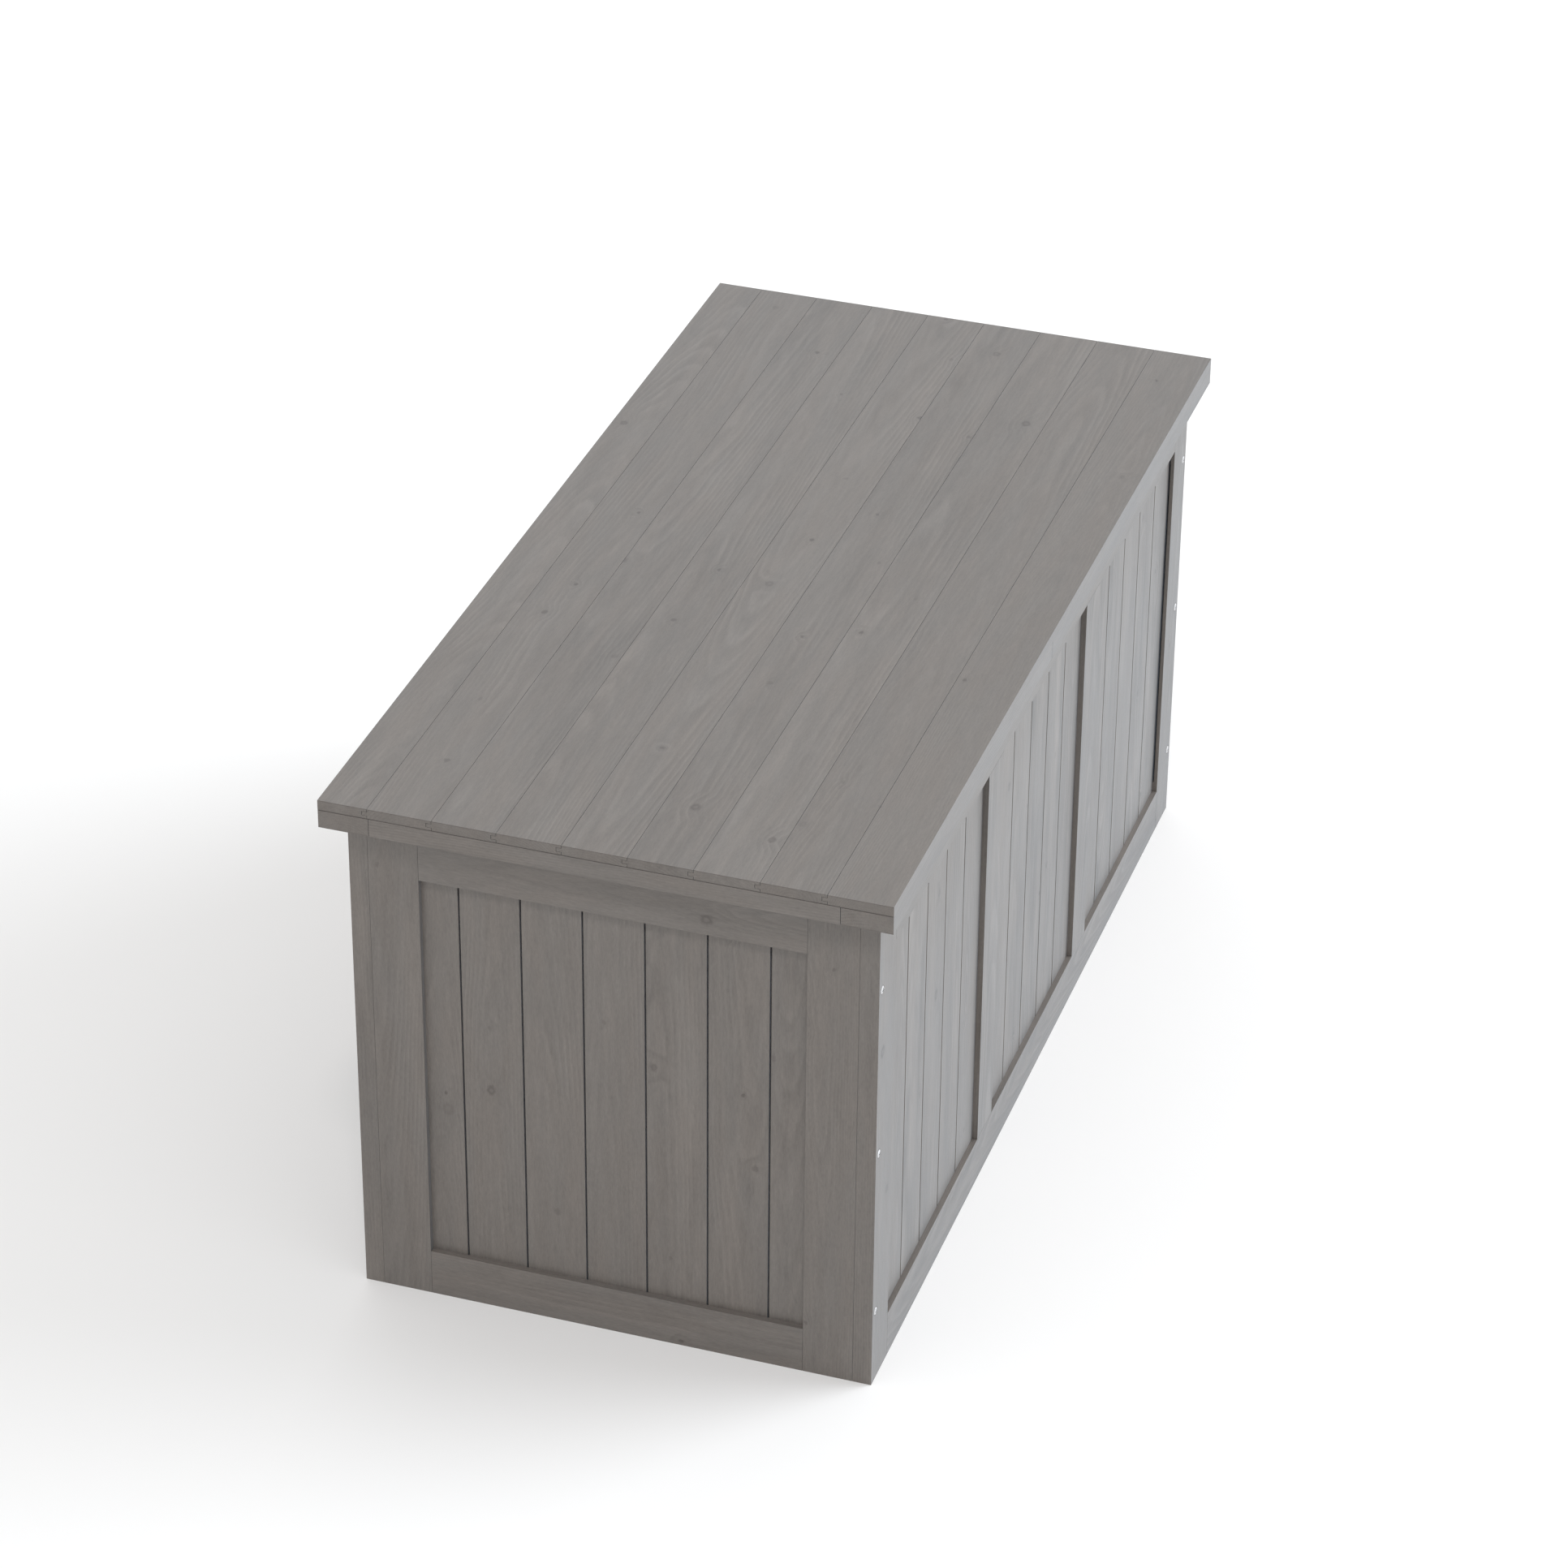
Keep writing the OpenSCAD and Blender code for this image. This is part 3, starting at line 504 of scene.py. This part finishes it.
def chrome(name):
    """The ground and plated rod, with fine marks from the seal."""
    material, g, shader = new_material(name)
    place = object_place(g)
    mark = g.noise(place, CHROME_MARK)
    film = g.noise(place, CHROME_FILM)
    shade(g, shader, Metallic=1.0,
          Base_Color=g.mix(g.ramp(film, CLOUD_RANGE), *CHROME_COLOURS),
          Roughness=g.total(CHROME_ROUGHNESS, g.product(film, CHROME_FILM_ROUGHNESS),
                            g.product(mark, CHROME_MARK_ROUGHNESS)),
          Normal=g.bump(mark, CHROME_RELIEF))
    return material


def beech(name):
    """Unstained dowels with short brown flecks."""
    material, g, shader = new_material(name)
    place = object_place(g)
    fleck = g.ramp(g.noise(place, BEECH_FLECK), BEECH_FLECK_RANGE)
    grain = g.noise(place, BEECH_GRAIN)
    plain = g.mix(g.ramp(grain, BEECH_GRAIN_RANGE), *BEECH_COLOURS)
    shade(g, shader, Roughness=BEECH_ROUGHNESS,
          Base_Color=g.mix(g.product(fleck, BEECH_FLECK_COVER), plain, BEECH_FLECK_COLOUR),
          Normal=g.bump(grain, BEECH_RELIEF))
    return material


# ---- Giving every node its material and edges ----

def soften(node, width):
    """Small round edges, by modifiers: the mesh itself stays as it was packed."""
    weld = node.modifiers.new("weld", "WELD")
    weld.merge_threshold = WELD_DISTANCE
    bevel = node.modifiers.new("edges", "BEVEL")
    bevel.width = width
    bevel.segments = EDGE_SEGMENTS
    bevel.limit_method = "ANGLE"
    bevel.angle_limit = SHARP_ANGLE
    bevel.harden_normals = False
    bevel.miter_outer = "MITER_ARC"


def dress(name, material, edge):
    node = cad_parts[name]
    for slot in node.material_slots:
        slot.material = material
    if edge:
        soften(node, edge)


board_numbers = itertools.count(NUMBERS_PER_NODE, NUMBERS_PER_NODE)


def dress_wood(name, along, across, edge, pitch=None, seam=None, streaks=PLAIN_STREAKS):
    """One board, or several a pitch wide with one of their seams at the coordinate given."""
    low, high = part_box(name)
    origin = (low + high) / 2
    if pitch is None:
        # One board in the middle of a pitch twice its width, so that no seam is near
        pitch = 2 * (high[across] - low[across])
        origin[across] -= pitch / 2
    else:
        origin[across] = seam
    depth = 3 - along - across
    half_depth = (high[depth] - low[depth]) / 2
    material = wood("wood " + name, along, across, origin, pitch, next(board_numbers), half_depth, streaks)
    dress(name, material, edge)


def dress_bay(name, across, streaks=PLAIN_STREAKS):
    """A bay of upright wall boards: a joint lies half a pitch from the bay's middle."""
    low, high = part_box(name)
    seam = (low[across] + high[across]) / 2 + WALL_BOARD_PITCH / 2
    dress_wood(name, Z, across, BOARD_EDGE, WALL_BOARD_PITCH, seam, streaks)


for wall in ("front", "back"):
    for part in ("left_stile", "right_stile", "inner_left_stile", "inner_right_stile"):
        dress_wood(f"{wall}_{part}", Z, X, FRAME_EDGE, streaks=LONG_WALL_FRAME_STREAKS)
    for part in ("top_rail", "bottom_rail"):
        dress_wood(f"{wall}_{part}", X, Z, FRAME_EDGE, streaks=LONG_WALL_FRAME_STREAKS)
    for bay in ("left", "middle", "right"):
        dress_bay(f"{wall}_{bay}_boards", X, LONG_WALL_BOARD_STREAKS)

for end in ("left_end", "right_end"):
    for part in ("front_stile", "back_stile"):
        dress_wood(f"{end}_{part}", Z, Y, FRAME_EDGE)
    for part in ("top_rail", "bottom_rail"):
        dress_wood(f"{end}_{part}", Y, Z, FRAME_EDGE)
    dress_bay(f"{end}_boards", Y)

floor_low, floor_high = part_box("floor_boards")
floor_pitch = (floor_high[X] - floor_low[X] + FLOOR_BOARD_GAP) / FLOOR_BOARD_COUNT
dress_wood("floor_boards", Y, X, BOARD_EDGE, floor_pitch, floor_low[X] - FLOOR_BOARD_GAP / 2)
dress_wood("floor_cleats", X, Y, FRAME_EDGE, PAIR_PITCH, PAIR_SEAM)
dress_wood("floor_middle_bearer", X, Y, FRAME_EDGE)

for number in range(1, LID_BOARD_COUNT + 1):
    dress_wood(f"lid_board_{number}", X, Y, LID_BOARD_EDGE)
for part in ("lid_front_rail", "lid_back_rail"):
    dress_wood(part, X, Y, FRAME_EDGE)
for part in ("lid_left_rail", "lid_right_rail"):
    dress_wood(part, Y, X, FRAME_EDGE)
dress_wood("lid_cross_battens", Y, X, FRAME_EDGE, PAIR_PITCH, PAIR_SEAM)

bright_zinc = zinc("bright zinc", BRIGHT_ZINC, BRIGHT_ZINC_ROUGHNESS)
for part in ("corner", "cleat", "lid_board", "wall_hardware", "lid_hardware"):
    dress(f"{part}_screws", bright_zinc, NO_EDGE)
dull_zinc = zinc("dull zinc", DULL_ZINC, DULL_ZINC_ROUGHNESS)
for part in ("hinge_wall_leaves", "hinge_pins", "hinge_lid_leaves"):
    dress(part, dull_zinc, METAL_EDGE)
bracket_paint = black_paint("bracket paint", BRACKET_ROUGHNESS, BRACKET_RELIEF)
for part in ("strut_wall_brackets", "strut_lid_brackets"):
    dress(part, bracket_paint, METAL_EDGE)
tube_paint = black_paint("tube paint", TUBE_ROUGHNESS, TUBE_RELIEF)
rod_chrome = chrome("rod chrome")
for side in ("left", "right"):
    dress(f"{side}_strut_tube", tube_paint, METAL_EDGE)
    dress(f"{side}_strut_rod", rod_chrome, METAL_EDGE)
dress("frame_dowels", beech("beech"), NO_EDGE)


# ---- Making the floor, light and camera ----

def make_floor():
    half = FLOOR_SIZE / 2
    mesh = bpy.data.meshes.new("studio_floor")
    corners = [(-half, -half, 0), (half, -half, 0), (half, half, 0), (-half, half, 0)]
    mesh.from_pydata(corners, [], [(0, 1, 2, 3)])
    floor = bpy.data.objects.new("studio_floor", mesh)
    bpy.context.scene.collection.objects.link(floor)
    material, g, shader = new_material("studio white")
    shade(g, shader, Base_Color=FLOOR_COLOUR, Roughness=1.0, Specular_IOR_Level=0.0)
    mesh.materials.append(material)


def make_surround():
    """The surround lights the box, and the camera sees a plain white backdrop in its place."""
    world = bpy.data.worlds.new("studio surround")
    world.use_nodes = True
    g = Graph(world.node_tree)
    surround = world.node_tree.nodes["Background"]
    g.link(SURROUND_COLOUR + (1,), surround.inputs["Color"])
    g.link(SURROUND_STRENGTH, surround.inputs["Strength"])
    backdrop = g.add("ShaderNodeBackground", {"Color": BACKDROP_COLOUR, "Strength": 1.0})
    seen = g.add("ShaderNodeLightPath").outputs["Is Camera Ray"]
    chosen = g.add("ShaderNodeMixShader", {0: seen, 1: surround.outputs[0], 2: backdrop.outputs[0]})
    g.link(chosen.outputs[0], world.node_tree.nodes["World Output"].inputs["Surface"])
    bpy.context.scene.world = world


def make_lamp(name, azimuth, elevation, angle, strength, colour):
    """A sun lamp. At azimuth 0 it shines from -Y, and at 90 from +X."""
    lamp = bpy.data.lights.new(name, "SUN")
    lamp.energy = strength
    lamp.angle = math.radians(angle)
    lamp.color = colour
    light = bpy.data.objects.new(name, lamp)
    bpy.context.scene.collection.objects.link(light)
    turn, rise = math.radians(azimuth), math.radians(elevation)
    towards_lamp = Vector((math.sin(turn) * math.cos(rise), -math.cos(turn) * math.cos(rise), math.sin(rise)))
    light.rotation_mode = "QUATERNION"
    light.rotation_quaternion = towards_lamp.to_track_quat("Z", "Y")


def make_camera():
    camera = bpy.data.cameras.new("camera")
    camera.lens = CAMERA_LENS
    camera.sensor_width = CAMERA_SENSOR
    camera.clip_start, camera.clip_end = CAMERA_CLIP
    holder = bpy.data.objects.new("camera", camera)
    bpy.context.scene.collection.objects.link(holder)
    turn = Matrix.Rotation(math.radians(CAMERA_AZIMUTH), 4, "Z")
    tilt = Matrix.Rotation(math.radians(90 - CAMERA_ELEVATION), 4, "X")
    roll = Matrix.Rotation(math.radians(CAMERA_ROLL), 4, "Z")
    holder.matrix_world = Matrix.Translation(CAMERA_PLACE) @ turn @ tilt @ roll
    bpy.context.scene.camera = holder


make_floor()
make_surround()
for lamp_settings in LAMPS:
    make_lamp(*lamp_settings)
make_camera()
bpy.context.scene.view_settings.view_transform = "Standard"
